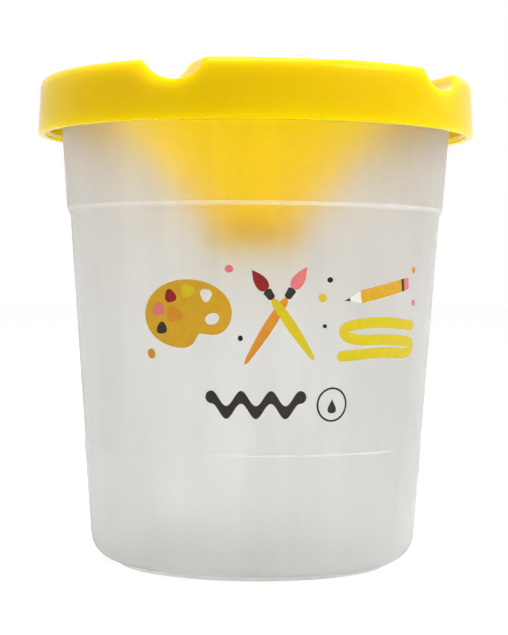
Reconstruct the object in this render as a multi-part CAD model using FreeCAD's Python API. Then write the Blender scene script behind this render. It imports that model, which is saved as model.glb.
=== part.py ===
import FreeCAD, Part
import math
import os

# A translucent paint cup with a push-on lid. The lid is a funnel with a brush
# hole, and two straight channels across its top hold resting brushes.
# Millimetres, +Z up, origin at the middle of the foot.
# Both pieces are turned shapes: a profile goes once round the Z axis. A profile
# is a list of corners (radius, height, rounding), where rounding is None or
# (corner radius, number of short slopes that it is turned in).

# ---- driving dimensions: cup ----
cup_wall = 1.5
cup_taper = 0.072            # growth in radius per millimetre of height
cup_base_radius = 30.85      # outer wall carried down to height 0
cup_floor = 1.4
foot_height = 0.8
foot_outer_radius = 26.07    # the heel starts here
foot_inner_radius = 23.0
foot_recess = 0.9
heel_radius = 5.2            # round from the wall to the underside
heel_slopes = 4
inner_heel = 1.9             # slope from the inner wall to the floor
shoulder_height = 67.6       # middle of the sloped step below the band
shoulder_length = 1.4
shoulder_width = 0.55
rim_height = 87.6
rim_radius = 39.7
rim_depth = 2.6              # height of the bead under the lid
rim_round = 0.9

# ---- driving dimensions: lid ----
lid_height = 93.0            # top land above the foot
lid_wall = 1.5
skirt_bottom = 82.15
skirt_bottom_radius = 42.0
skirt_top_radius = 41.45
top_edge_radius = 2.0
top_edge_slopes = 3
snap_height = 83.4           # ridge inside the skirt, below the rim bead
snap_radius = 40.0
snap_slope = 0.6             # height in which the ridge fades out upwards
plug_bottom = 81.3           # ring that centres the lid inside the cup
plug_radius = 35.4
plug_wall = 1.9
plug_lead = 0.8              # slope that guides the ring into the cup
funnel_wall = 1.4
funnel_slope = 1.104         # rise per millimetre of radius
collar_bottom = 60.0
collar_top = 65.0
collar_radius = 9.5          # outside of the tube at the funnel's tip

# ---- driving dimensions: brush channels ----
channel_offset = 25.0        # each channel's middle from the axis
channel_radius = 4.6
channel_depth = 3.85
channel_shoulder = 0.8       # round between the channel and the land
channel_wall = 1.4
channel_overrun = 10.0       # how far the channel's tools pass the skirt

same_place = 0.01            # points closer than this are one point


def rounded_points(corners):
    """The profile's points, with each rounded corner as a few short slopes."""
    points = []
    for i, (r, z, rounding) in enumerate(corners):
        corner = FreeCAD.Vector(r, 0, z)
        if rounding is None:
            points.append(corner)
            continue
        radius, slopes = rounding
        last = corners[i - 1]
        following = corners[(i + 1) % len(corners)]
        before = (FreeCAD.Vector(last[0], 0, last[1]) - corner).normalize()
        after = (FreeCAD.Vector(following[0], 0, following[1]) - corner).normalize()
        half = before.getAngle(after) / 2
        centre = corner + (before + after).normalize() * (radius / math.sin(half))
        start = corner + before * (radius / math.tan(half)) - centre
        end = corner + after * (radius / math.tan(half)) - centre
        sweep = math.pi - 2 * half
        for step in range(slopes + 1):
            share = step / slopes
            start_share = math.sin((1 - share) * sweep) / math.sin(sweep)
            end_share = math.sin(share * sweep) / math.sin(sweep)
            points.append(centre + start * start_share + end * end_share)
    return [p for i, p in enumerate(points) if p.distanceToPoint(points[i - 1]) > same_place]


def turned(corners):
    points = rounded_points(corners)
    face = Part.Face(Part.makePolygon(points + points[:1]))
    return face.revolve(FreeCAD.Vector(0, 0, 0), FreeCAD.Vector(0, 0, 1), 360)


def cup_outside(z):
    """Radius of the cup's outer wall, below the shoulder, at height z."""
    return cup_base_radius + cup_taper * z


def cup_corners():
    floor_top = foot_recess + cup_floor
    low_shoulder = shoulder_height - shoulder_length / 2
    high_shoulder = shoulder_height + shoulder_length / 2
    rim_under = rim_height - rim_depth
    floor_radius = cup_outside(floor_top) - cup_wall - inner_heel
    return [
        # underside: recess, foot ring, heel
        (0, foot_recess, None),
        (foot_inner_radius - foot_recess, foot_recess, None),
        (foot_inner_radius, 0, None),
        (foot_outer_radius, 0, None),
        (foot_outer_radius, foot_height, None),
        (cup_outside(foot_height), foot_height, (heel_radius, heel_slopes)),
        # outside: wall, sloped shoulder, band, rim bead
        (cup_outside(low_shoulder), low_shoulder, None),
        (cup_outside(high_shoulder) + shoulder_width, high_shoulder, None),
        (cup_outside(rim_under) + shoulder_width, rim_under, None),
        (rim_radius, rim_under, None),
        (rim_radius, rim_height, (rim_round, 1)),
        # inside: one straight wall down to the floor
        (cup_outside(rim_height) + shoulder_width - cup_wall, rim_height, None),
        (cup_outside(floor_top + inner_heel) - cup_wall, floor_top + inner_heel, None),
        (floor_radius, floor_top, None),
        (0, floor_top, None),
    ]


def funnel_under(r):
    """Height of the funnel's underside at radius r."""
    return collar_top + funnel_slope * (r - collar_radius)


def funnel_top(r):
    """Height of the funnel's upper surface at radius r."""
    return funnel_under(r) + funnel_wall * math.hypot(1, funnel_slope)


def land_inner_radius():
    """Radius at which the funnel falls away from the land."""
    return collar_radius + (lid_height - funnel_top(collar_radius)) / funnel_slope


def lid_corners():
    collar_bore = collar_radius - funnel_wall
    land_under = lid_height - lid_wall
    plug_inner = plug_radius - plug_wall
    skirt_inner = skirt_bottom_radius - lid_wall
    return [
        # top: skirt, land, funnel, bore of the collar
        (skirt_bottom_radius, skirt_bottom, None),
        (skirt_top_radius, lid_height, (top_edge_radius, top_edge_slopes)),
        (land_inner_radius(), lid_height, (top_edge_radius, 1)),
        (collar_bore, funnel_top(collar_bore), None),
        (collar_bore, collar_bottom, None),
        # underside: collar, funnel, plug ring
        (collar_radius, collar_bottom, None),
        (collar_radius, collar_top, None),
        (plug_inner, funnel_under(plug_inner), None),
        (plug_inner, plug_bottom, None),
        (plug_radius, plug_bottom + plug_lead, None),
        (plug_radius, land_under, None),
        # inside of the skirt, with its snap ridge
        (skirt_inner, land_under, None),
        (skirt_inner, snap_height + snap_slope, None),
        (snap_radius, snap_height, None),
        (skirt_inner, skirt_bottom, None),
    ]


def under_top_corners():
    """The room below the lid's upper surface that the channels' walls fill.

    It stays half a wall inside the skirt and the funnel, whose faces stay whole.
    """
    bottom = lid_height - channel_depth - channel_wall - lid_wall
    half_wall = lid_wall / 2
    funnel_low = land_inner_radius() - (lid_height - bottom) / funnel_slope
    funnel_high = land_inner_radius() - half_wall / funnel_slope
    return [
        (funnel_low + half_wall, bottom, None),
        (skirt_top_radius - half_wall, bottom, None),
        (skirt_top_radius - half_wall, lid_height - half_wall, None),
        (funnel_high + half_wall, lid_height - half_wall, None),
    ]


def along_y(wire):
    """Solid bar from a wire in the XZ plane, running right across the lid."""
    reach = skirt_bottom_radius + channel_overrun
    wire.translate(FreeCAD.Vector(0, -reach, 0))
    return Part.Face(wire).extrude(FreeCAD.Vector(0, 2 * reach, 0))


def channel_cutter(x):
    """The hollow of one channel, with its rounded shoulders at the land."""
    rise = channel_radius - channel_depth
    reach = channel_radius + channel_shoulder
    side = math.sqrt(reach ** 2 - (rise + channel_shoulder) ** 2)
    share = channel_radius / reach
    touch_x = side * share
    touch_z = lid_height + rise - (rise + channel_shoulder) * share
    lean = math.atan2(side, rise + channel_shoulder) / 2
    knee_x = side - channel_shoulder * math.sin(lean)
    knee_z = lid_height - channel_shoulder * (1 - math.cos(lean))
    top = lid_height + channel_radius

    def at(dx, z):
        return FreeCAD.Vector(x + dx, 0, z)

    outline = [
        Part.Arc(at(-side, lid_height), at(-knee_x, knee_z), at(-touch_x, touch_z)),
        Part.Arc(at(-touch_x, touch_z), at(0, lid_height - channel_depth), at(touch_x, touch_z)),
        Part.Arc(at(touch_x, touch_z), at(knee_x, knee_z), at(side, lid_height)),
        Part.LineSegment(at(side, lid_height), at(side, top)),
        Part.LineSegment(at(side, top), at(-side, top)),
        Part.LineSegment(at(-side, top), at(-side, lid_height)),
    ]
    return along_y(Part.Wire([line.toShape() for line in outline]))


def channel_bar(x):
    """Round bar whose lower skin becomes the wall below the channel."""
    centre = FreeCAD.Vector(x, 0, lid_height - channel_depth + channel_radius)
    circle = Part.Circle(centre, FreeCAD.Vector(0, 1, 0), channel_radius + channel_wall)
    return along_y(Part.Wire(circle.toShape()))


def make_cup():
    return turned(cup_corners())


def make_lid():
    lid = turned(lid_corners())
    under_top = turned(under_top_corners())
    sides = (-channel_offset, channel_offset)
    for x in sides:
        lid = lid.fuse(channel_bar(x).common(under_top))
    for x in sides:
        lid = lid.cut(channel_cutter(x))
    return lid.removeSplitter()


os.makedirs("parts", exist_ok=True)
pieces = {"cup": make_cup(), "lid": make_lid()}
for name, shape in pieces.items():
    solids = shape.Solids
    print(name, "solids", len(solids), "valid", shape.isValid(), "volume", round(shape.Volume, 1))
    solids[0].exportStep("parts/" + name + ".step")
print("overlap", round(pieces["cup"].common(pieces["lid"]).Volume, 4))
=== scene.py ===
import bpy
import bmesh
import math
from mathutils import Matrix, Vector
from mathutils.geometry import tessellate_polygon


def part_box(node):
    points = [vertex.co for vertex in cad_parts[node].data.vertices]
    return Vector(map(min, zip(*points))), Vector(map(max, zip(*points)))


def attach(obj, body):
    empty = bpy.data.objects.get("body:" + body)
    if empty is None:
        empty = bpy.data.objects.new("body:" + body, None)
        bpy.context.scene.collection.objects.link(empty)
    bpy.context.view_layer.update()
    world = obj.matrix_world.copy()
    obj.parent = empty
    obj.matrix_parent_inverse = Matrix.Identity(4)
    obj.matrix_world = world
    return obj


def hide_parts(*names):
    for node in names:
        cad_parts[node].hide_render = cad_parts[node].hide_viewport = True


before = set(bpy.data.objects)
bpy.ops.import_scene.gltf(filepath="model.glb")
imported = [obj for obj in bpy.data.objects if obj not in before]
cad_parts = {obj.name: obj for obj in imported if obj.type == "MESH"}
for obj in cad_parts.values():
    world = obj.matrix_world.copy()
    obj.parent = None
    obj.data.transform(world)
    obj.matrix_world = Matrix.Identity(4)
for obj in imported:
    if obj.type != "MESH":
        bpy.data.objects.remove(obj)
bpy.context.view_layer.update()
mm = 0.001
scene = bpy.context.scene
print("frame loaded:", sorted(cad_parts))


# a long lens at about half the cup's height
cameraSetup = {
    "azimuth": -17.5,      # degrees round the cup, 0 looks along +Y
    "distance": 350.0,     # mm from the cup's axis
    "height": 52.8,        # mm
    "pitch": -0.893,       # degrees, looking slightly down
    "roll": 0.46,          # degrees
    "lens": 101.85,        # mm
    "nearest": 10.0,       # mm, nothing closer is drawn
}


def makeCamera(setup):
    camera = bpy.data.objects.new("camera", bpy.data.cameras.new("camera"))
    camera.data.lens = setup["lens"]
    camera.data.clip_start = setup["nearest"] * mm
    turn = math.radians(setup["azimuth"])
    place = Vector((math.sin(turn), -math.cos(turn), 0)) * setup["distance"]
    place.z = setup["height"]
    camera.matrix_world = (
        Matrix.Translation(place * mm)
        @ Matrix.Rotation(turn, 4, "Z")
        @ Matrix.Rotation(math.radians(90 + setup["pitch"]), 4, "X")
        @ Matrix.Rotation(math.radians(setup["roll"]), 4, "Z")
    )
    scene.collection.objects.link(camera)
    scene.camera = camera


makeCamera(cameraSetup)
scene.view_settings.view_transform = "Standard"
print("camera placed")


def hexToLinear(code):
    channels = [int(code[i:i + 2], 16) / 255 for i in (1, 3, 5)]
    linear = [c / 12.92 if c <= 0.04045 else ((c + 0.055) / 1.055) ** 2.4 for c in channels]
    return (*linear, 1.0)


def addNode(tree, kind, settings=None, values=None, links=None):
    # values and links go by the socket's name, or by its number where names repeat
    node = tree.nodes.new(kind)
    for name, value in (settings or {}).items():
        setattr(node, name, value)
    for name, value in (values or {}).items():
        node.inputs[name].default_value = value
    for name, source in (links or {}).items():
        tree.links.new(source, node.inputs[name])
    return node


def emptyMaterial(name):
    material = bpy.data.materials.new(name)
    material.use_nodes = True
    material.node_tree.nodes.clear()
    return material, material.node_tree


# numbers of a Mix node's sockets when it mixes colours
mixShare, mixFirst, mixSecond, mixResult = 0, 6, 7, 2


cupFinish = {
    "colour": "#F7F8F7",
    "cloudColour": "#F1F2F1",
    "streakColour": "#FAFAFA",  # multiplies the colour along the flow
    "ior": 1.2,            # 1.49 in bulk, brought down to the blur and thin veil of the real wall
    "smoothest": 0.46,     # roughness on the lands of the frosting
    "roughest": 0.68,      # roughness in its pits
    "sheen": 0.5,          # pale bloom of the matt skin at a low angle
    "sheenRoughness": 0.4,
    "frosting": 0.35,      # grain of the frosting, mm
    "frostingDepth": 0.05,  # mm
    "cloud": 22.0,         # slow change in the melt, mm across
    "streak": 3.5,         # width of the upright flow streaks, mm
    "streakLength": 25,    # how many times longer than wide they are
    "milkInside": 0.35,    # share of the light that the inside skin scatters
    "milkThick": 0.3,      # the same on the shoulder and the ledge, where the wall is thicker
}


def frostedPolypropylene(name, finish, milkiness, bothWays):
    # Injection-moulded natural polypropylene from a spark-eroded mould: milky and
    # matt. What is close behind the wall shows blurred, and what is far fades out.
    # milkiness is the share of light that the skin scatters. With bothWays off, it
    # scatters only light that comes from its own side, not light that leaves the wall.
    material, tree = emptyMaterial(name)
    place = addNode(tree, "ShaderNodeTexCoord").outputs["Object"]
    cloud = addNode(tree, "ShaderNodeTexNoise",
                    values={"Scale": 1 / (finish["cloud"] * mm), "Detail": 3.0, "Roughness": 0.5},
                    links={"Vector": place})
    frosting = addNode(tree, "ShaderNodeTexNoise",
                       values={"Scale": 1 / (finish["frosting"] * mm), "Detail": 2.0},
                       links={"Vector": place})
    # noise stays near its middle value, so the ranges here and below start and end close to it
    clouds = addNode(tree, "ShaderNodeMapRange", values={"From Min": 0.35, "From Max": 0.65},
                     links={"Value": cloud.outputs["Fac"]})
    milk = addNode(tree, "ShaderNodeMix", {"data_type": "RGBA"},
                   {mixFirst: hexToLinear(finish["cloudColour"]), mixSecond: hexToLinear(finish["colour"])},
                   {mixShare: clouds.outputs["Result"]})
    upright = addNode(tree, "ShaderNodeMapping", values={"Scale": (1, 1, 1 / finish["streakLength"])},
                      links={"Vector": place})
    flow = addNode(tree, "ShaderNodeTexNoise",
                   values={"Scale": 1 / (finish["streak"] * mm), "Detail": 2.0},
                   links={"Vector": upright.outputs["Vector"]})
    streaks = addNode(tree, "ShaderNodeMapRange",
                      values={"From Min": 0.38, "From Max": 0.58, "To Min": 1.0, "To Max": 0.0},
                      links={"Value": flow.outputs["Fac"]})
    tone = addNode(tree, "ShaderNodeMix", {"data_type": "RGBA", "blend_type": "MULTIPLY"},
                   {mixSecond: hexToLinear(finish["streakColour"])},
                   {mixShare: streaks.outputs["Result"], mixFirst: milk.outputs[mixResult]})
    roughness = addNode(tree, "ShaderNodeMapRange",
                        values={"From Min": 0.4, "From Max": 0.6,
                                "To Min": finish["smoothest"], "To Max": finish["roughest"]},
                        links={"Value": frosting.outputs["Fac"]})
    bump = addNode(tree, "ShaderNodeBump",
                   values={"Strength": 0.12, "Distance": finish["frostingDepth"] * mm},
                   links={"Height": frosting.outputs["Fac"]})
    shader = addNode(tree, "ShaderNodeBsdfPrincipled",
                     values={"IOR": finish["ior"], "Transmission Weight": 1 - milkiness,
                             "Sheen Weight": finish["sheen"], "Sheen Roughness": finish["sheenRoughness"]},
                     links={"Base Color": tone.outputs[mixResult],
                            "Roughness": roughness.outputs["Result"],
                            "Normal": bump.outputs["Normal"]})
    if not bothWays:
        leaving = addNode(tree, "ShaderNodeNewGeometry").outputs["Backfacing"]
        clear = addNode(tree, "ShaderNodeMapRange", values={"To Min": 1 - milkiness, "To Max": 1.0},
                        links={"Value": leaving})
        tree.links.new(clear.outputs["Result"], shader.inputs["Transmission Weight"])
    addNode(tree, "ShaderNodeOutputMaterial", links={"Surface": shader.outputs["BSDF"]})
    return material


lidFinish = {
    "colour": "#FFBF00",
    "deepColour": "#FAB900",
    "ior": 1.51,
    "gloss": 0.08,         # 0.5 is a plain skin, but this waxy one shows far less white
    "roughness": 0.2,
    "roughnessFall": 0.04,  # smoother than that on the crests of the grain
    "roughnessRise": 0.05,  # and rougher in its pits
    "scatter": (8.2, 8.8, 0.4),  # mm that red, green and blue light travel inside
    "peel": 1.6,           # soft waves of the moulded skin, mm across
    "peelDepth": 0.02,     # mm
    "grain": 0.25,         # mould grain, mm across
    "grainDepth": 0.005,   # mm
    "drift": 18.0,         # slow change of pigment, mm across
}


def yellowPolyethylene(finish):
    # Injection-moulded polyethylene with a warm yellow masterbatch: satin gloss,
    # a very slight orange peel, and a soft, waxy depth at thin edges.
    material, tree = emptyMaterial("yellowPolyethyleneMoulded")
    place = addNode(tree, "ShaderNodeTexCoord").outputs["Object"]
    drift = addNode(tree, "ShaderNodeTexNoise",
                    values={"Scale": 1 / (finish["drift"] * mm), "Detail": 3.0},
                    links={"Vector": place})
    peel = addNode(tree, "ShaderNodeTexNoise",
                   values={"Scale": 1 / (finish["peel"] * mm), "Detail": 1.0},
                   links={"Vector": place})
    grain = addNode(tree, "ShaderNodeTexNoise",
                    values={"Scale": 1 / (finish["grain"] * mm), "Detail": 2.0},
                    links={"Vector": place})
    depth = addNode(tree, "ShaderNodeMapRange", values={"From Min": 0.35, "From Max": 0.65},
                    links={"Value": drift.outputs["Fac"]})
    colour = addNode(tree, "ShaderNodeMix", {"data_type": "RGBA"},
                     {mixFirst: hexToLinear(finish["deepColour"]), mixSecond: hexToLinear(finish["colour"])},
                     {mixShare: depth.outputs["Result"]})
    roughness = addNode(tree, "ShaderNodeMapRange",
                        values={"To Min": finish["roughness"] - finish["roughnessFall"],
                                "To Max": finish["roughness"] + finish["roughnessRise"]},
                        links={"Value": grain.outputs["Fac"]})
    waves = addNode(tree, "ShaderNodeBump",
                    values={"Strength": 0.2, "Distance": finish["peelDepth"] * mm},
                    links={"Height": peel.outputs["Fac"]})
    bump = addNode(tree, "ShaderNodeBump",
                   values={"Strength": 0.05, "Distance": finish["grainDepth"] * mm},
                   links={"Height": grain.outputs["Fac"], "Normal": waves.outputs["Normal"]})
    shader = addNode(tree, "ShaderNodeBsdfPrincipled",
                     values={"IOR": finish["ior"], "Specular IOR Level": finish["gloss"],
                             "Subsurface Weight": 1.0, "Subsurface Radius": finish["scatter"],
                             "Subsurface Scale": 1 * mm},
                     links={"Base Color": colour.outputs[mixResult],
                            "Roughness": roughness.outputs["Result"],
                            "Normal": bump.outputs["Normal"]})
    addNode(tree, "ShaderNodeOutputMaterial", links={"Surface": shader.outputs["BSDF"]})
    return material


inkFinish = {
    "ior": 1.5,
    "gloss": 0.2,          # less than the 0.5 of a plain skin, for a thin dull film
    "roughness": 0.42,
    "lay": 1.4,            # mm across, where the pad left more or less ink
    "relief": 0.01,        # mm
}


def printedInk(name, colour, thinColour, finish):
    # Pad-printed ink on plastic: a thin even film with a satin skin, a little
    # lighter and darker where the pad laid it down unevenly.
    material, tree = emptyMaterial(name)
    place = addNode(tree, "ShaderNodeTexCoord").outputs["Object"]
    lay = addNode(tree, "ShaderNodeTexNoise",
                  values={"Scale": 1 / (finish["lay"] * mm), "Detail": 4.0, "Roughness": 0.6},
                  links={"Vector": place})
    cover = addNode(tree, "ShaderNodeMapRange", values={"From Min": 0.3, "From Max": 0.7},
                    links={"Value": lay.outputs["Fac"]})
    tone = addNode(tree, "ShaderNodeMix", {"data_type": "RGBA"},
                   {mixFirst: hexToLinear(thinColour), mixSecond: hexToLinear(colour)},
                   {mixShare: cover.outputs["Result"]})
    bump = addNode(tree, "ShaderNodeBump",
                   values={"Strength": 0.1, "Distance": finish["relief"] * mm},
                   links={"Height": lay.outputs["Fac"]})
    shader = addNode(tree, "ShaderNodeBsdfPrincipled",
                     values={"IOR": finish["ior"], "Roughness": finish["roughness"],
                             "Specular IOR Level": finish["gloss"]},
                     links={"Base Color": tone.outputs[mixResult], "Normal": bump.outputs["Normal"]})
    addNode(tree, "ShaderNodeOutputMaterial", links={"Surface": shader.outputs["BSDF"]})
    return material


cupPlastic = frostedPolypropylene("frostedPolypropyleneMoulded", cupFinish, 0, True)
cupInside = frostedPolypropylene("frostedPolypropyleneInside", cupFinish, cupFinish["milkInside"], False)
cupThick = frostedPolypropylene("frostedPolypropyleneThick", cupFinish, cupFinish["milkThick"], True)
lidPlastic = yellowPolyethylene(lidFinish)
print("plastics mixed")


# a turned shape is a profile of (radius, height, rounding) in mm that goes round Z
def roundedProfile(corners, stepAngle=10):
    points = []
    for i, (r, z, rounding) in enumerate(corners):
        corner = Vector((r, z))
        if rounding == 0:
            points.append(corner)
            continue
        before = (Vector(corners[i - 1][:2]) - corner).normalized()
        after = (Vector(corners[(i + 1) % len(corners)][:2]) - corner).normalized()
        half = before.angle(after) / 2
        centre = corner + (before + after).normalized() * (rounding / math.sin(half))
        start = corner + before * (rounding / math.tan(half)) - centre
        end = corner + after * (rounding / math.tan(half)) - centre
        sweep = math.pi - 2 * half
        steps = max(2, round(math.degrees(sweep) / stepAngle))
        for step in range(steps + 1):
            share = step / steps
            points.append(centre + (start * math.sin((1 - share) * sweep)
                                    + end * math.sin(share * sweep)) / math.sin(sweep))
    return points


def meshObject(name, bm, material):
    bmesh.ops.recalc_face_normals(bm, faces=bm.faces)
    mesh = bpy.data.meshes.new(name)
    bm.to_mesh(mesh)
    bm.free()
    mesh.materials.append(material)
    piece = bpy.data.objects.new(name, mesh)
    scene.collection.objects.link(piece)
    return piece


def turnedPiece(name, points, material, segments):
    onAxis = 1e-6
    bm = bmesh.new()
    rings = []
    for r, z in points:
        if r < onAxis:
            rings.append([bm.verts.new((0, 0, z * mm))] * segments)
            continue
        ring = []
        for i in range(segments):
            turn = 2 * math.pi * i / segments
            ring.append(bm.verts.new((r * math.sin(turn) * mm, -r * math.cos(turn) * mm, z * mm)))
        rings.append(ring)
    for ring, following in zip(rings, rings[1:] + rings[:1]):
        for i in range(segments):
            j = (i + 1) % segments
            # on the axis a face has three corners, and between two points there none
            corners = list(dict.fromkeys([ring[i], ring[j], following[j], following[i]]))
            if len(corners) > 2:
                bm.faces.new(corners)
    return meshObject(name, bm, material)


def smoothPiece(piece, sharpFrom):
    piece.data.shade_smooth()
    piece.data.set_sharp_from_angle(angle=math.radians(sharpFrom))


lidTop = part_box("lid")[1].z / mm
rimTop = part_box("cup")[1].z / mm

cupSizes = {
    "segments": 192,           # flats round the cup
    "sharpFrom": 40,           # degrees, steeper edges stay crisp
    "wall": 1.3,
    "taper": 0.072,            # growth in radius per millimetre of height
    "baseRadius": 30.85,       # outer wall carried down to height 0
    "floor": 1.4,
    "footHeight": 0.8,
    "footOuter": 26.0,
    "footInner": 23.0,
    "footRecess": 0.9,
    "footRound": 0.3,
    "heel": 5.2,
    "gateRadius": 3.0,         # moulding dimple under the middle
    "gateDepth": 0.4,
    "innerStepHeight": 23.5,   # the lower wall is a little thicker inside
    "innerStep": 0.3,
    "outerStep": 0.12,         # what shows of it outside, a faint pale line
    "shoulderHeight": 67.6,
    "shoulderLength": 1.4,
    "shoulderWidth": 0.55,
    "shoulderRound": 0.25,
    "shoulderRoundInside": 0.6,
    "rimRadius": 39.7,
    "rimDepth": 2.6,
    "rimSlope": 0.4,           # drop of the bead's underside towards the wall
    "rimRound": 1.0,
    "rimRoundInside": 0.9,
    "rimRoundBelow": 0.6,
}


def cupWallRadius(z):
    return cupSizes["baseRadius"] + cupSizes["taper"] * z


def makeCup(s):
    floorTop = s["footRecess"] + s["floor"]
    gateTop = s["footRecess"] + s["gateDepth"]
    low = s["shoulderHeight"] - s["shoulderLength"] / 2
    high = s["shoulderHeight"] + s["shoulderLength"] / 2
    rimUnder = rimTop - s["rimDepth"]
    step = s["innerStepHeight"]
    stepLow = step - s["innerStep"]
    wall = s["wall"]
    band = s["shoulderWidth"] - wall
    corners = [
        # underside: dimple, recess, foot ring, heel
        (0, gateTop, 0),
        (s["gateRadius"], gateTop, 0.3),
        (s["gateRadius"] + s["gateDepth"], s["footRecess"], 0.2),
        (s["footInner"] - s["footRecess"], s["footRecess"], 0.5),
        (s["footInner"], 0, s["footRound"]),
        (s["footOuter"], 0, s["footRound"]),
        (s["footOuter"], s["footHeight"], 0),
        (cupWallRadius(s["footHeight"]), s["footHeight"], s["heel"]),
        # outside: faint ledge, wall, sloped shoulder, band, rim bead
        (cupWallRadius(stepLow) + s["outerStep"], stepLow, 0),
        (cupWallRadius(step), step, 0),
        (cupWallRadius(low), low, s["shoulderRound"]),
        (cupWallRadius(s["shoulderHeight"]) + s["shoulderWidth"] / 2, s["shoulderHeight"], 0),
        (cupWallRadius(high) + s["shoulderWidth"], high, s["shoulderRound"]),
        (cupWallRadius(rimUnder) + s["shoulderWidth"], rimUnder, 0.4),
        (s["rimRadius"], rimUnder + s["rimSlope"], s["rimRoundBelow"]),
        (s["rimRadius"], rimTop, s["rimRound"]),
        # inside, from the rim down to the floor
        (cupWallRadius(rimTop) + band, rimTop, s["rimRoundInside"]),
        (cupWallRadius(high) + band, high, s["shoulderRoundInside"]),
        (cupWallRadius(low) - wall, low, s["shoulderRoundInside"]),
        (cupWallRadius(step) - wall, step, 0.1),
        (cupWallRadius(step) - wall - s["innerStep"], stepLow, 0.1),
        (cupWallRadius(floorTop) - wall - s["innerStep"], floorTop, s["heel"] - wall),
        (0, floorTop, 0),
    ]
    cup = turnedPiece("cupBody", roundedProfile(corners), cupPlastic, s["segments"])
    cup.data.materials.append(cupInside)
    cup.data.materials.append(cupThick)
    insideSlot, thickSlot = 1, 2
    shoulderTop = high + 0.1  # with the round above the slope
    for face in cup.data.polygons:
        z = face.center.z / mm
        inward = face.normal.x * face.center.x + face.normal.y * face.center.y < 0
        upward = face.normal.z > 0.5 and z < rimTop / 2
        if z > floorTop - s["floor"] / 2 and (inward or upward):
            face.material_index = insideSlot
        elif s["shoulderHeight"] < z < shoulderTop or stepLow < z < step:
            face.material_index = thickSlot
    smoothPiece(cup, s["sharpFrom"])
    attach(cup, "cup")
    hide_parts("cup")
    return cup


cupBody = makeCup(cupSizes)
print("cup made:", len(cupBody.data.polygons), "faces")


# the lid is a turned shell with two channels cut right across it
lidSizes = {
    "segments": 256,           # flats round the lid
    "sharpFrom": 30,           # degrees, steeper edges stay crisp
    "wall": 1.5,
    "skirtBottom": 82.15,
    "skirtBottomRadius": 42.0,
    "skirtTopRadius": 41.45,
    "skirtLip": 0.5,           # upright height of the skirt's inside at its bottom
    "topEdge": 2.0,            # rounds of the land, outside and towards the funnel
    "snapHeight": 83.5,
    "snapRadius": 40.0,
    "snapHalfHeight": 0.25,
    "snapSlope": 0.8,          # height in which the snap ridge fades out upwards
    "plugBottom": 83.4,
    "plugRadius": 35.4,
    "plugWall": 1.9,
    "plugLead": 0.2,           # slope that guides the plug ring into the cup
    "funnelWall": 1.4,
    "funnelSlope": 1.104,      # rise per millimetre of radius
    "collarBottom": 60.0,
    "collarTop": 65.0,
    "collarRadius": 9.5,
    "channelOffset": 25.0,     # from the axis to each channel's middle
    "channelRadius": 4.6,
    "channelDepth": 3.85,
    "channelShoulder": 0.8,    # round between the channel and the land
    "channelWall": 1.4,
    "channelMouthRound": 0.35,
    "channelOverrun": 10.0,    # how far the cutting bars pass the skirt
    "channelCover": 6.0,       # how far they rise above the land
}


def barAlongY(name, outline, reach):
    bm = bmesh.new()
    near = [bm.verts.new((x * mm, -reach * mm, z * mm)) for x, z in outline]
    face = bm.faces.new(near)
    far = bmesh.ops.extrude_face_region(bm, geom=[face])["geom"]
    for vert in far:
        if isinstance(vert, bmesh.types.BMVert):
            vert.co.y = reach * mm
    return meshObject(name, bm, lidPlastic)


def applyModifiers(piece):
    ready = piece.evaluated_get(bpy.context.evaluated_depsgraph_get())
    mesh = bpy.data.meshes.new_from_object(ready)
    piece.modifiers.clear()
    piece.data = mesh


def combine(piece, tool, operation):
    modifier = piece.modifiers.new(operation, "BOOLEAN")
    modifier.operation = operation
    modifier.solver = "EXACT"
    modifier.object = tool
    applyModifiers(piece)
    bpy.data.objects.remove(tool)


def arcPoints(centre, radius, start, end, steps):
    points = []
    for step in range(steps + 1):
        turn = math.radians(start + (end - start) * step / steps)
        points.append(Vector((centre[0] + radius * math.cos(turn), centre[1] + radius * math.sin(turn))))
    return points


def skirtRadius(z, s):
    # outside of the skirt at height z, with the round of its top edge
    share = (z - s["skirtBottom"]) / (lidTop - s["skirtBottom"])
    straight = s["skirtBottomRadius"] + (s["skirtTopRadius"] - s["skirtBottomRadius"]) * share
    into = max(0, min(z, lidTop) - (lidTop - s["topEdge"]))
    return straight - s["topEdge"] + math.sqrt(s["topEdge"] ** 2 - into ** 2)


def channelHollow(outline, centre, s, mouthSteps=6):
    # A bar along Y that widens in a quarter round where it leaves the skirt. Each
    # station along it is (side, depth inside the skirt, how much wider it is).
    mouth = s["channelMouthRound"]
    turns = [math.radians(90 * i / mouthSteps) for i in range(mouthSteps + 1)]
    mouthRound = [(mouth * (1 - math.cos(turn)), mouth * (1 - math.sin(turn))) for turn in turns]
    inward = [(-s["channelOverrun"], mouth)] + mouthRound
    stations = [(-1, *station) for station in inward] + [(1, *station) for station in inward[::-1]]
    bm = bmesh.new()
    rings = []
    for side, depth, wider in stations:
        ring = []
        for point in outline:
            out = (point - Vector(centre)).normalized()
            # it widens only below the shoulder's round, so the land stays whole
            fade = max(0, min(1, (lidTop - point.y) / s["channelShoulder"]))
            x, z = point + out * wider * fade
            radius = skirtRadius(z, s) - depth
            y = side * math.sqrt(radius ** 2 - x ** 2)
            ring.append(bm.verts.new((x * mm, y * mm, z * mm)))
        rings.append(ring)
    for near, far in zip(rings, rings[1:]):
        for i in range(len(outline)):
            j = (i + 1) % len(outline)
            bm.faces.new((near[i], near[j], far[j], far[i]))
    bm.faces.new(rings[0])
    bm.faces.new(rings[-1])
    return meshObject("channelHollow", bm, lidPlastic)


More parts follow.
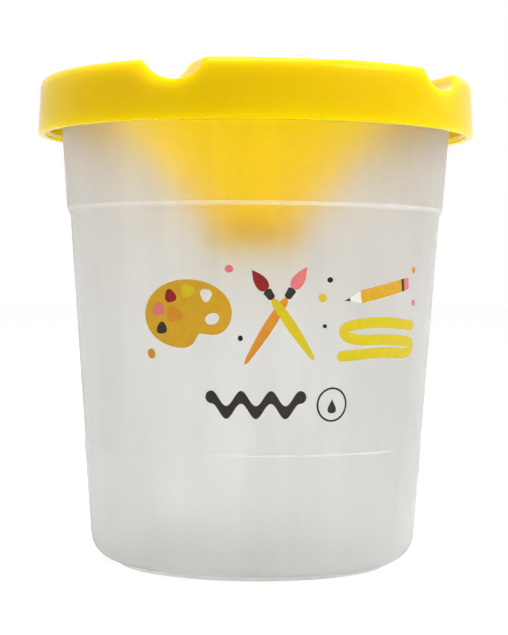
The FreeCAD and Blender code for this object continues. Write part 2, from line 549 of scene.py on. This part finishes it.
def lidProfile(s, landInner, funnelUnder, funnelTop):
    bore = s["collarRadius"] - s["funnelWall"]
    landUnder = lidTop - s["wall"]
    plugInner = s["plugRadius"] - s["plugWall"]
    skirtInnerBottom = s["skirtBottomRadius"] - s["wall"]
    skirtInnerTop = s["skirtTopRadius"] - s["wall"]
    return [
        # top: skirt, land, funnel, bore of the collar
        (s["skirtBottomRadius"], s["skirtBottom"], 0.5),
        (s["skirtTopRadius"], lidTop, s["topEdge"]),
        (landInner, lidTop, s["topEdge"]),
        (bore, funnelTop(bore), 1.5),
        (bore, s["collarBottom"], 0.4),
        # underside: collar, funnel, plug ring
        (s["collarRadius"], s["collarBottom"], 0.4),
        (s["collarRadius"], s["collarTop"], 1.5),
        (plugInner, funnelUnder(plugInner), 0.4),
        (plugInner, s["plugBottom"], 0.3),
        (s["plugRadius"], s["plugBottom"] + s["plugLead"], 0.5),
        (s["plugRadius"], landUnder, 0.5),
        # inside of the skirt with its snap ridge
        (skirtInnerTop, landUnder, 0.8),
        (skirtInnerBottom - 0.1, s["snapHeight"] + s["snapSlope"], 0.3),
        (s["snapRadius"], s["snapHeight"] + s["snapHalfHeight"], 0.2),
        (s["snapRadius"], s["snapHeight"] - s["snapHalfHeight"], 0.2),
        (skirtInnerBottom, s["skirtBottom"] + s["skirtLip"], 0.2),
        (skirtInnerBottom, s["skirtBottom"], 0.2),
    ]


def makeLid(s, barSteps=48, shoulderSteps=6, hollowSteps=24):
    def funnelUnder(r):
        return s["collarTop"] + s["funnelSlope"] * (r - s["collarRadius"])

    def funnelTop(r):
        return funnelUnder(r) + s["funnelWall"] * math.hypot(1, s["funnelSlope"])

    landInner = s["collarRadius"] + (lidTop - funnelTop(s["collarRadius"])) / s["funnelSlope"]
    profile = roundedProfile(lidProfile(s, landInner, funnelUnder, funnelTop))
    lid = turnedPiece("lidShell", profile, lidPlastic, s["segments"])

    # the room that the channels' walls may fill, half a wall inside the skirt
    bottom = lidTop - s["channelDepth"] - s["channelWall"] - s["wall"]
    half = s["wall"] / 2
    funnelLow = landInner - (lidTop - bottom) / s["funnelSlope"]
    funnelHigh = landInner - half / s["funnelSlope"]
    room = [
        Vector((funnelLow + half, bottom)),
        Vector((s["skirtTopRadius"] - half, bottom)),
        Vector((s["skirtTopRadius"] - half, lidTop - half)),
        Vector((funnelHigh + half, lidTop - half)),
    ]
    reach = s["skirtBottomRadius"] + s["channelOverrun"]
    rise = s["channelRadius"] - s["channelDepth"]
    outerRadius = s["channelRadius"] + s["channelWall"]
    for x in (-s["channelOffset"], s["channelOffset"]):
        circle = arcPoints((x, lidTop + rise), outerRadius, 0, 360 - 360 / barSteps, barSteps - 1)
        bar = barAlongY("channelWall", circle, reach)
        combine(bar, turnedPiece("channelRoom", room, lidPlastic, s["segments"]), "INTERSECT")
        combine(lid, bar, "UNION")

    # the hollow of each channel, from the land on one side to the land on the other
    shoulder = s["channelShoulder"]
    lean = math.degrees(math.asin((rise + shoulder) / (s["channelRadius"] + shoulder)))
    side = (s["channelRadius"] + shoulder) * math.cos(math.radians(lean))
    coverTop = lidTop + s["channelCover"]
    for x in (-s["channelOffset"], s["channelOffset"]):
        middle = (x, lidTop + rise)
        left = arcPoints((x - side, lidTop - shoulder), shoulder, 90, lean, shoulderSteps)
        hollow = arcPoints(middle, s["channelRadius"], 180 + lean, 360 - lean, hollowSteps)
        right = arcPoints((x + side, lidTop - shoulder), shoulder, 180 - lean, 90, shoulderSteps)
        cover = [Vector((x + side, coverTop)), Vector((x - side, coverTop))]
        outline = left + hollow[1:-1] + right + cover
        combine(lid, channelHollow(outline, middle, s), "DIFFERENCE")
    smoothPiece(lid, s["sharpFrom"])
    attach(lid, "lid")
    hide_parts("lid")
    return lid


lidShell = makeLid(lidSizes)
print("lid made:", len(lidShell.data.polygons), "faces")


# The print is thin ink films on the front wall. A place on it is (u, v): u in mm
# round the wall from the middle of the view, v the height.
printSizes = {
    "middle": -17.5,           # degrees, the side that faces the camera
    "radius": 34.3,            # wall radius where u is measured
    "slice": 1.2,              # width of the flat strips that follow the wall
    "sharpFrom": 30,           # degrees, steeper edges stay crisp
    "sunk": 0.05,              # how far a film reaches into the wall
    "lifts": {"under": 0.03, "over": 0.05},  # how far the first and the second layer stand out
    "inks": {
        # ink: colour, and its darker tone
        "Ochre": ("#CD9D1E", "#C29218"),
        "Orange": ("#D08A22", "#C4801C"),
        "Yellow": ("#CBB715", "#C2AE10"),
        "Pink": ("#D97474", "#CE6A6A"),
        "Red": ("#8E1C1C", "#801616"),
        "White": ("#DEDAD0", "#D4D0C6"),
        "Charcoal": ("#322D24", "#28241C"),
        "Black": ("#1E1B18", "#141210"),
    },
    "palette": {
        "centre": (-12.3, 48.4),
        "halfWidth": 8.1,
        "halfHeight": 6.3,
        "tilt": 8,             # degrees
        "biteAt": 292,         # degrees round the rim where it is hollowed
        "biteDepth": 0.34,
        "biteWidth": 0.3,
        "swell": 0.04,         # makes the two ends differ
        "swellTurn": 0.6,
        # thumb hole: place, half width, half height, tilt
        "thumb": ((4.7, -1.5), 1.35, 1.0, 20),
        # blobs of paint: ink, place from the middle of the board, radius
        "blobs": [
            ("Pink", -5.3, 1.5, 1.25),
            ("Red", -2.5, 3.5, 1.2),
            ("Yellow", 0.9, 4.0, 1.3),
            ("White", 4.2, 2.8, 1.15),
            ("Charcoal", -5.2, -1.9, 1.1),
            ("Orange", -2.3, 0.2, 1.5),
        ],
    },
    "brushes": {
        # tip, end of the handle, handle ink, bristle ink
        "rising": ((9.2, 56.8), (-1.6, 39.6), "Orange", "Pink"),
        "leaning": ((-0.4, 56.2), (11.0, 40.4), "Yellow", "Red"),
    },
    # where ferrule and bristles start, and (share of the length, half width) of each part
    "brushShape": {
        "ferruleFrom": 0.68,
        "bristlesFrom": 0.78,
        "handle": [(0, 0.3), (0.15, 0.55), (0.5, 0.95), (0.8, 0.85), (1.0, 0.6)],
        "ferrule": [(0, 0.62), (0.5, 0.72), (1, 0.8)],
        "bristles": [(0, 0.8), (0.3, 1.2), (0.6, 0.95), (0.85, 0.4), (1, 0.05)],
    },
    # the line of paint as it was squeezed from the tube
    "scribble": [(16.6, 41.0), (26, 41.7), (34.4, 41.1), (35.6, 43.4), (27, 44.0), (17.6, 43.8),
                 (16.2, 46.4), (25, 47.2), (34.6, 46.4)],
    "scribbleWidth": 1.9,
    "pencil": {
        "tip": (16.6, 50.9),
        "tail": (32.6, 54.2),
        "width": 2.3,
        # ink, share of the length where it starts and ends, share of the width there
        "parts": [
            ("Charcoal", 0.0, 0.075, 0.02, 0.25),
            ("White", 0.075, 0.22, 0.25, 1.0),
            ("Ochre", 0.22, 0.86, 1, 1),
            ("Charcoal", 0.86, 0.91, 1, 1),
            ("Pink", 0.91, 1.0, 1, 0.85),
        ],
    },
    "drops": {
        # ink: centre and radius of each
        "Black": [(13.6, 54.6, 0.55), (12.9, 46.4, 0.4), (-2.4, 44.2, 0.5)],
        "Pink": [(-4.4, 56.4, 0.75), (35.0, 50.6, 0.6)],
        "Yellow": [(12.3, 51.4, 0.8)],
        "Orange": [(-19.6, 41.2, 0.9), (34.2, 56.6, 0.6)],
    },
    "flatness": 0.9,           # height of blobs and drops for their width
    "wave": {"from": -7.7, "to": 8.65, "height": 32.4, "swing": 1.35, "crests": 3, "width": 2.3},
    # a ring with a drop in it, the drop's sizes as shares of the ring's radius
    "badge": {"centre": (14.95, 32.4), "radius": 3.1, "line": 0.35,
              "dropWidth": 0.28, "dropHeight": 0.42, "dropBelow": 0.12, "dropShift": 0.1},
}


def ovalLine(centre, halfWidth, halfHeight, tilt=0, shape=lambda turn: 1, steps=72):
    lean = math.radians(tilt)
    line = []
    for i in range(steps):
        turn = 2 * math.pi * i / steps
        x = halfWidth * math.cos(turn) * shape(turn)
        y = halfHeight * math.sin(turn) * shape(turn)
        line.append(Vector((centre[0] + x * math.cos(lean) - y * math.sin(lean),
                            centre[1] + x * math.sin(lean) + y * math.cos(lean))))
    return line


def softened(line, closed=True, rounds=3):
    # cuts every corner off at a quarter of its sides, a few times over
    line = [Vector(p) for p in line]
    for _ in range(rounds):
        pairs = list(zip(line, line[1:] + line[:1] if closed else line[1:]))
        cut = [p.lerp(q, share) for p, q in pairs for share in (0.25, 0.75)]
        line = cut if closed else [line[0]] + cut + [line[-1]]
    return line


def ribbonLine(path, halfWidth, capSteps=6):
    # outline of a stroke along the path, with round ends
    left, right = [], []
    for i, p in enumerate(path):
        ahead = (path[min(i + 1, len(path) - 1)] - path[max(i - 1, 0)]).normalized()
        across = Vector((-ahead.y, ahead.x)) * halfWidth
        left.append(p + across)
        right.append(p - across)

    def cap(p, towards):
        turns = [math.radians(-60 + 120 * i / capSteps) for i in range(capSteps + 1)]
        return [p + Matrix.Rotation(turn, 2) @ (towards * halfWidth) for turn in turns]

    first = (path[0] - path[1]).normalized()
    last = (path[-1] - path[-2]).normalized()
    return cap(path[0], first) + right + cap(path[-1], last) + left[::-1]


def taperedLine(start, end, widths, rounds=2):
    # closed outline along a straight line, widths given as (share of length, half width)
    start, end = Vector(start), Vector(end)
    ahead = (end - start).normalized()
    across = Vector((-ahead.y, ahead.x))
    left = [start.lerp(end, share) + across * w for share, w in widths]
    right = [start.lerp(end, share) - across * w for share, w in widths]
    return softened(left + right[::-1], True, rounds)


# each motif is (ink, layer, outer line, holes)
def paletteMotifs(s, flatness):
    lean = math.radians(s["tilt"])

    def onBoard(x, y):
        return (s["centre"][0] + x * math.cos(lean) - y * math.sin(lean),
                s["centre"][1] + x * math.sin(lean) + y * math.cos(lean))

    def kidney(turn):
        away = (turn - math.radians(s["biteAt"]) + math.pi) % (2 * math.pi) - math.pi
        bite = s["biteDepth"] * math.exp(-(away / s["biteWidth"]) ** 2)
        return 1 - bite + s["swell"] * math.cos(2 * turn + s["swellTurn"])

    board = ovalLine(s["centre"], s["halfWidth"], s["halfHeight"], s["tilt"], kidney, 120)
    (x, y), halfWidth, halfHeight, tilt = s["thumb"]
    motifs = [("Ochre", "under", board, [ovalLine(onBoard(x, y), halfWidth, halfHeight, tilt)])]
    for ink, x, y, size in s["blobs"]:
        # three soft bulges, turned differently on each blob
        blob = ovalLine(onBoard(x, y), size, size * flatness, 25 * x,
                        lambda turn: 1 + 0.1 * math.cos(3 * turn + x), 40)
        motifs.append((ink, "over", blob, []))
    return motifs


def brushMotifs(brushes, shape):
    motifs = []
    for order, (tip, tail, handleInk, bristleInk) in enumerate(brushes.values()):
        layer = "over" if order else "under"
        tip, tail = Vector(tip), Vector(tail)
        ferrule = tail.lerp(tip, shape["ferruleFrom"])
        neck = tail.lerp(tip, shape["bristlesFrom"])
        motifs.append((handleInk, layer, taperedLine(tail, ferrule, shape["handle"]), []))
        motifs.append(("Charcoal", layer, taperedLine(ferrule, neck, shape["ferrule"], 1), []))
        motifs.append((bristleInk, layer, taperedLine(neck, tip, shape["bristles"]), []))
    return motifs


def pencilMotifs(s):
    tip, tail = Vector(s["tip"]), Vector(s["tail"])
    motifs = []
    for ink, start, end, startWidth, endWidth in s["parts"]:
        widths = [(0, startWidth * s["width"] / 2), (1, endWidth * s["width"] / 2)]
        line = taperedLine(tip.lerp(tail, start), tip.lerp(tail, end), widths, 0)
        motifs.append((ink, "under", line, []))
    return motifs


def waveLine(s, steps=96, capSteps=10):
    crest = []
    for i in range(steps + 1):
        u = s["from"] + (s["to"] - s["from"]) * i / steps
        turn = 2 * math.pi * s["crests"] * i / steps
        crest.append(Vector((u, s["height"] + s["swing"] * math.cos(turn))))
    half = s["width"] / 2
    lift = Vector((0, half))
    line = [p + lift for p in crest] + arcPoints(crest[-1], half, 75, -75, capSteps)
    return line + [p - lift for p in crest[::-1]] + arcPoints(crest[0], half, 255, 105, capSteps)


def badgeMotifs(s, dropSteps=40):
    (u, v), size = s["centre"], s["radius"]
    ring = ovalLine(s["centre"], size, size)
    inner = ovalLine(s["centre"], size - s["line"], size - s["line"])
    drop = []
    for i in range(dropSteps):
        turn = 2 * math.pi * i / dropSteps
        across = s["dropWidth"] * size * math.sin(turn) * (1 + math.cos(turn)) / 1.3  # 1.3 at its widest
        along = v - s["dropBelow"] * size - s["dropHeight"] * size * math.cos(turn) + s["dropShift"]
        drop.append(Vector((u + across, along)))
    return [("Charcoal", "under", ring, [inner]), ("Charcoal", "under", drop, [])]


def printMotifs(s):
    motifs = paletteMotifs(s["palette"], s["flatness"]) + brushMotifs(s["brushes"], s["brushShape"])
    scribble = ribbonLine(softened(s["scribble"], False), s["scribbleWidth"] / 2)
    motifs.append(("Yellow", "under", scribble, []))
    motifs += pencilMotifs(s["pencil"])
    for ink, drops in s["drops"].items():
        for u, v, size in drops:
            drop = ovalLine((u, v), size, size * s["flatness"], 40 * u, steps=32)
            motifs.append((ink, "under", drop, []))
    motifs.append(("Charcoal", "under", waveLine(s["wave"]), []))
    return motifs + badgeMotifs(s["badge"])


def inkFilm(name, motifs, ink, s):
    bm = bmesh.new()
    for layer, outer, holes in motifs:
        flat = bmesh.new()
        lines = [[Vector((p[0], p[1], 0)) for p in line] for line in [outer] + holes]
        verts = [flat.verts.new(p) for line in lines for p in line]
        for triangle in tessellate_polygon(lines):
            flat.faces.new([verts[i] for i in triangle])
        low = math.floor(min(p[0] for p in outer) / s["slice"])
        high = math.ceil(max(p[0] for p in outer) / s["slice"])
        for step in range(low + 1, high):
            bmesh.ops.bisect_plane(flat, geom=flat.verts[:] + flat.edges[:] + flat.faces[:],
                                   plane_co=(step * s["slice"], 0, 0), plane_no=(1, 0, 0))
        bmesh.ops.recalc_face_normals(flat, faces=flat.faces)
        lifted = bmesh.ops.extrude_face_region(flat, geom=flat.faces[:], use_keep_orig=True)["geom"]
        top = {item for item in lifted if isinstance(item, bmesh.types.BMVert)}
        for vert in flat.verts:
            u, v, _ = vert.co
            turn = u / s["radius"] + math.radians(s["middle"])
            r = cupWallRadius(v) + (s["lifts"][layer] if vert in top else -s["sunk"])
            vert.co = Vector((r * math.sin(turn), -r * math.cos(turn), v)) * mm
        part = bpy.data.meshes.new("part")
        flat.to_mesh(part)
        flat.free()
        bm.from_mesh(part)
        bpy.data.meshes.remove(part)
    film = meshObject(name, bm, ink)
    smoothPiece(film, s["sharpFrom"])
    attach(film, "cup")


allMotifs = printMotifs(printSizes)
for inkName, (inkColour, inkDark) in printSizes["inks"].items():
    ink = printedInk("padPrintInk" + inkName, inkColour, inkDark, inkFinish)
    inkFilm("print" + inkName, [motif[1:] for motif in allMotifs if motif[0] == inkName], ink, printSizes)
print("print laid on:", len(allMotifs), "motifs")


studio = {
    "roomLight": 0.52,
    "floorColour": "#EDEDED",
    "floorRadius": 6.0,        # m
    "floorGlow": 0.86,         # share of the floor that shows as plain white
    "glowStrength": 1.08,      # over 1, to make up for the share that is grey paper
    "fibreScale": 900.0,       # about one fibre of the paper per millimetre
    "fibreDepth": 0.1,         # mm
    "aimHeight": 50.0,         # mm, the lamps point at the middle of the cup
    "softboxes": {
        # name: azimuth from the camera, elevation, distance m, size m, watts
        "keyRight": (62, 38, 1.0, 0.5, 5.0),
        "fillLeft": (-60, 25, 1.1, 0.6, 0.3),
        "topSoft": (0, 82, 1.0, 0.6, 8.0),
        "backHigh": (176.5, 31, 1.0, 0.08, 3.0),
    },
    "unseenThroughCup": ["backHigh"],  # it would be a bright spot in the wall
}


def seenDirectly(tree):
    # 1 where the camera sees the white, also in gloss or through clear plastic, and
    # 0 for the light that the white would otherwise add inside the cup
    path = addNode(tree, "ShaderNodeLightPath")
    seen = path.outputs["Is Camera Ray"]
    for kind in ("Is Glossy Ray", "Is Transmission Ray"):
        either = addNode(tree, "ShaderNodeMath", {"operation": "ADD", "use_clamp": True},
                         links={0: seen, 1: path.outputs[kind]})
        seen = either.outputs[0]
    unscattered = addNode(tree, "ShaderNodeMath", {"operation": "LESS_THAN"}, {1: 0.5},
                          {0: path.outputs["Diffuse Depth"]})
    both = addNode(tree, "ShaderNodeMath", {"operation": "MULTIPLY"},
                   links={0: seen, 1: unscattered.outputs[0]})
    return both.outputs[0]


def lightRoom(s):
    world = bpy.data.worlds.new("whiteRoom")
    scene.world = world
    world.use_nodes = True
    tree = world.node_tree
    tree.nodes.clear()
    room = addNode(tree, "ShaderNodeBackground", values={"Color": (1, 1, 1, 1), "Strength": s["roomLight"]})
    white = addNode(tree, "ShaderNodeBackground", values={"Color": (1, 1, 1, 1), "Strength": 1.0})
    mix = addNode(tree, "ShaderNodeMixShader",
                  links={0: seenDirectly(tree), 1: room.outputs[0], 2: white.outputs[0]})
    addNode(tree, "ShaderNodeOutputWorld", links={"Surface": mix.outputs[0]})


def layFloor(s):
    # Uncoated white background paper: matt, with a fine fibre, and bright enough to
    # merge with the room while it still takes the cup's shadow.
    material, tree = emptyMaterial("paleSeamlessFloor")
    place = addNode(tree, "ShaderNodeTexCoord").outputs["Object"]
    fibre = addNode(tree, "ShaderNodeTexNoise", values={"Scale": s["fibreScale"], "Detail": 2.0},
                    links={"Vector": place})
    bump = addNode(tree, "ShaderNodeBump", values={"Strength": 0.05, "Distance": s["fibreDepth"] * mm},
                   links={"Height": fibre.outputs["Fac"]})
    paper = addNode(tree, "ShaderNodeBsdfDiffuse", values={"Color": hexToLinear(s["floorColour"])},
                    links={"Normal": bump.outputs["Normal"]})
    glow = addNode(tree, "ShaderNodeEmission", values={"Strength": s["glowStrength"]})
    share = addNode(tree, "ShaderNodeMath", {"operation": "MULTIPLY"}, {1: s["floorGlow"]},
                    {0: seenDirectly(tree)})
    mix = addNode(tree, "ShaderNodeMixShader",
                  links={0: share.outputs[0], 1: paper.outputs[0], 2: glow.outputs[0]})
    addNode(tree, "ShaderNodeOutputMaterial", links={"Surface": mix.outputs[0]})
    bm = bmesh.new()
    bmesh.ops.create_circle(bm, cap_ends=True, segments=96, radius=s["floorRadius"])
    meshObject("floor", bm, material)


def hangLamps(s):
    aim = Vector((0, 0, s["aimHeight"] * mm))
    for name, (azimuth, elevation, distance, size, watts) in s["softboxes"].items():
        light = bpy.data.lights.new(name, "AREA")
        light.energy = watts
        light.size = size
        lamp = bpy.data.objects.new(name, light)
        turn = math.radians(cameraSetup["azimuth"] + azimuth)
        lift = math.radians(elevation)
        away = Vector((math.sin(turn) * math.cos(lift), -math.cos(turn) * math.cos(lift), math.sin(lift)))
        lamp.location = away * distance + aim
        lamp.rotation_euler = away.to_track_quat("Z", "Y").to_euler()
        lamp.visible_transmission = name not in s["unseenThroughCup"]
        scene.collection.objects.link(lamp)


lightRoom(studio)
layFloor(studio)
hangLamps(studio)
print("studio lit")
